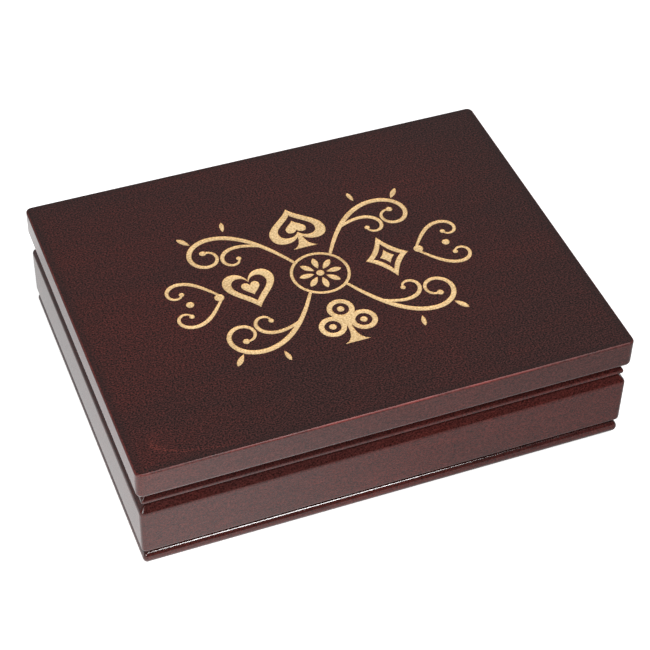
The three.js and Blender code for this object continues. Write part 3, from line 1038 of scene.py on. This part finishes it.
def make_pad():
    """The pad, hung under the lid with its full side down."""
    low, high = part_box("lid_pad")
    thick = high.z - low.z
    half = (high - low) / 2

    def height_at(x, y, roll):
        u, v = x / half.x, y / half.y
        px = x - math.copysign(PAD_PULL, x) * (1 - v * v) * u * u
        py = y - math.copysign(PAD_PULL, y) * (1 - u * u) * v * v
        crown = PAD_CROWN * (1 - u ** 4) * (1 - v ** 4)
        return px, py, thick * (PAD_RIM + crown + PAD_RIPPLE * ripple(x, y) * roll)

    pad = cloth_slab("pad_lid", low, high, PAD_EDGE, height_at, upwards=False)
    wear([pad], baize)
    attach(pad, "lid")
    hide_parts("lid_pad")
    print(f"pad {2 * half.x / MM:.0f} by {2 * half.y / MM:.0f} mm, {thick / MM:.0f} mm thick")


make_pad()

# %% [markdown]
# The hinges are pressed brass, lacquered but no longer bright: the metal is a little uneven in
# tone, and fine rubbing marks run along the leaves. The leaves, pins and screws could each have a
# finish of their own, but they come from one box of hardware and share this one.

# %% Brass
BRASS_DARK = (0.50, 0.36, 0.165, 1)
BRASS_LIGHT = (0.58, 0.43, 0.21, 1)
BRASS_MARKS = ((300, 2400, 2400), 3.0, 0.6)
BRASS_CLOUDS = ((70, 70, 70), 2.0)
BRASS_SHARES = (0.6, 0.4)
BRASS_ROUGHNESS = (0.26, 0.36)
BRASS_RELIEF = (0.04, 0.02 * MM)

brass = Finish("brass", {"Metallic": 1.0})
marks = brass.noise(*BRASS_MARKS)
dull = brass.noise(*BRASS_CLOUDS)
brass.feed("Base Color", brass.mix(brass.clamp(dull, *MOST_NOISE), BRASS_DARK, BRASS_LIGHT))
rubbed = blend((marks, dull), BRASS_SHARES)
brass.feed("Roughness", brass.clamp(rubbed, *MOST_NOISE, *BRASS_ROUGHNESS))
brass.feed("Normal", brass.bump(marks, *BRASS_RELIEF))
hinge_nodes = [thing for name, thing in nodes.items() if name.startswith("hinge_")]
wear(hinge_nodes, brass)
print("brass on", len(hinge_nodes), "hinge parts")

# %% [markdown]
# The construction model is made of small flat facets. Smooth shading alone would smear the light
# over the true edges too. So three modifiers shade the facets as one rounded surface without
# moving a point: Weld joins the facets, Edge Split keeps the true edges sharp, and Weighted Normal
# lets the large flat faces stay flat beside their narrow rounded edges.

# %% Smooth shading
EDGE_ANGLE = math.radians(33)


def smooth(thing):
    """Rounds the shading of curved faces and keeps true edges sharp."""
    for face in thing.data.polygons:
        face.use_smooth = True
    thing.modifiers.new("weld", "WELD").merge_threshold = WELD_DISTANCE
    thing.modifiers.new("edges", "EDGE_SPLIT").split_angle = EDGE_ANGLE
    weighted = thing.modifiers.new("normals", "WEIGHTED_NORMAL")
    weighted.mode = "FACE_AREA"
    weighted.keep_sharp = True


for thing in [*nodes.values(), lid]:
    smooth(thing)
print("smooth shading on", len(nodes) + 1, "pieces")

# %% [markdown]
# The floor is a large sheet of paper, white at the left and greyer towards the right and the
# back. The grey to the right is painted shade, standing in for less light on the paper there.
# More lamps could turn it plain white, but they would wash out the shadow of the box. So it
# gives off the little light that it lacks, and only where the camera looks. The lacquer mirrors
# the paper too. At the front left the paper gives off more light that only mirrors see, a
# painted reflection, and this gives the front its slow fall from pale at the left to dark at
# the right.

# %% Floor
BLACK = (0, 0, 0, 1)
WHITE = (1, 1, 1, 1)
FLOOR_HALF = 3.0
FLOOR_PAPER = {"Roughness": 0.9, "Specular IOR Level": 0.0, "Emission Strength": 1.0}
# Painted shade: the paper is greyer to the right, standing in for less light there, and greyer to
# the back
PAPER_GREY = (0.50, 0.50, 0.50, 1)
PAPER_WHITE = (0.86, 0.86, 0.86, 1)
WHITE_TO_LEFT = (0.09, -0.05)
GREYER_AT_BACK = (-0.02, 0.11, 1.0, 0.30)
# Light added where the camera looks: near the box and far away
TOP_UP_NEAR = 0.8
TOP_UP_FAR = 1.0
FAR_AWAY = (0.3, 0.7)
# The painted reflection: light the paper gives off only to mirrors, a bright patch in the lacquer
# that fades to the right, and beside the box to the back
PATCH_TO_RIGHT = (-0.07, 0.02, 0.60, 0.0)
PATCH_LEFT_END = (-0.12, -0.09)
PATCH_BESIDE = (0.04, -0.06, 0.0, 0.75)


def make_floor():
    """A sheet of paper under the box, not part of it."""
    h = FLOOR_HALF
    mesh = bpy.data.meshes.new("floor")
    mesh.from_pydata([(-h, -h, 0), (h, -h, 0), (h, h, 0), (-h, h, 0)], [], [(0, 1, 2, 3)])
    floor = bpy.data.objects.new("floor", mesh)
    bpy.context.scene.collection.objects.link(floor)
    paper = Finish("white_floor", FLOOR_PAPER)
    x, y, _ = paper.here()
    camera_ray = paper.ray("Camera")
    away = paper.greater(paper.size(x), paper.size(y))
    for_camera = camera_ray * paper.clamp(away, *FAR_AWAY, TOP_UP_NEAR, TOP_UP_FAR)
    beside = paper.greater(paper.clamp(x, *PATCH_LEFT_END), paper.clamp(y, *PATCH_BESIDE))
    # Painted reflection: a glow of the paper that only mirrors see
    painted_reflection = paper.clamp(x, *PATCH_TO_RIGHT) * beside
    top_up = paper.greater(for_camera, (paper.seen() - camera_ray) * painted_reflection)
    paper.feed("Emission Color", paper.mix(top_up, BLACK, WHITE))
    # Painted shade on the paper towards the right; it is greyer towards the back too
    painted_floor_light = paper.clamp(x, *WHITE_TO_LEFT) * paper.clamp(y, *GREYER_AT_BACK)
    paper.feed("Base Color", paper.mix(painted_floor_light, PAPER_GREY, PAPER_WHITE))
    wear([floor], paper)


make_floor()
print(f"paper floor, {2 * FLOOR_HALF:.0f} m square")

# %% [markdown]
# The room is what the lacquer mirrors. A plain white one would turn the dark lid grey. So in the
# lacquer it is white only at the horizon and dim overhead, where it darkens further from the back
# wall to the end behind the camera. The camera itself sees plain white, and as light on the box
# the room is one soft level.

# %% Room
ROOM_LIGHT = 0.22
ROOM_FRONT = 0.05
ROOM_BACK = 0.37
HORIZON = (0.14, 0.02)
FRONT_TO_BACK = (-0.3, 0.6)


def make_room():
    """The world: what the lacquer mirrors, and the plain light from all sides."""
    world = bpy.data.worlds.new("room")
    bpy.context.scene.world = world
    world.use_nodes = True
    room = Web(world.node_tree)
    _, y, z = room.parts(room.node("ShaderNodeTexCoord", output="Generated"))
    walls = room.clamp(z, *HORIZON)
    ceiling = room.clamp(y, *FRONT_TO_BACK, ROOM_FRONT, ROOM_BACK)
    looks = room.greater(room.greater(walls, ceiling), room.ray("Camera"))
    seen = room.seen()
    shade = looks * seen + ROOM_LIGHT * (1 - seen)
    background = room.tree.nodes["Background"]
    plug(room.tree, background.inputs["Color"], room.mix(shade, BLACK, WHITE))


make_room()
print("room ready, plain light", ROOM_LIGHT)

# %% [markdown]
# Two soft boxes light the box. A weak one stands low at the front left. The main one hangs high
# in front, a little to the right. A lower one would light the nose more easily, but also the
# sloping shoulder above it, which is dark in the photograph. So the lamp hangs just high enough
# for the nose to mirror it as a bright line, while the shoulder mirrors the dark room.

# %% Lamps
LAMPS = (
    # name, place, size, watts and upright direction
    ("front_left", (-0.42, -0.42, 0.27), (0.26, 0.22), 2.2, (0, 0, 1)),
    ("high_right", (0.20, -0.47, 0.860), (0.24, 0.24), 8.6, (0, 1, 0)),
)


def soft_box(name, place, size, watts, upright):
    """An area lamp that looks at the box."""
    data = bpy.data.lights.new(name, "AREA")
    data.shape = "RECTANGLE"
    data.size, data.size_y = size
    data.energy = watts
    lamp = bpy.data.objects.new(name, data)
    bpy.context.scene.collection.objects.link(lamp)
    lamp.matrix_world = looking(Vector(place), Vector(place).normalized(), Vector(upright))


for lamp_values in LAMPS:
    soft_box(*lamp_values)
bpy.context.scene.view_settings.view_transform = "Standard"
print(len(LAMPS), "soft boxes")
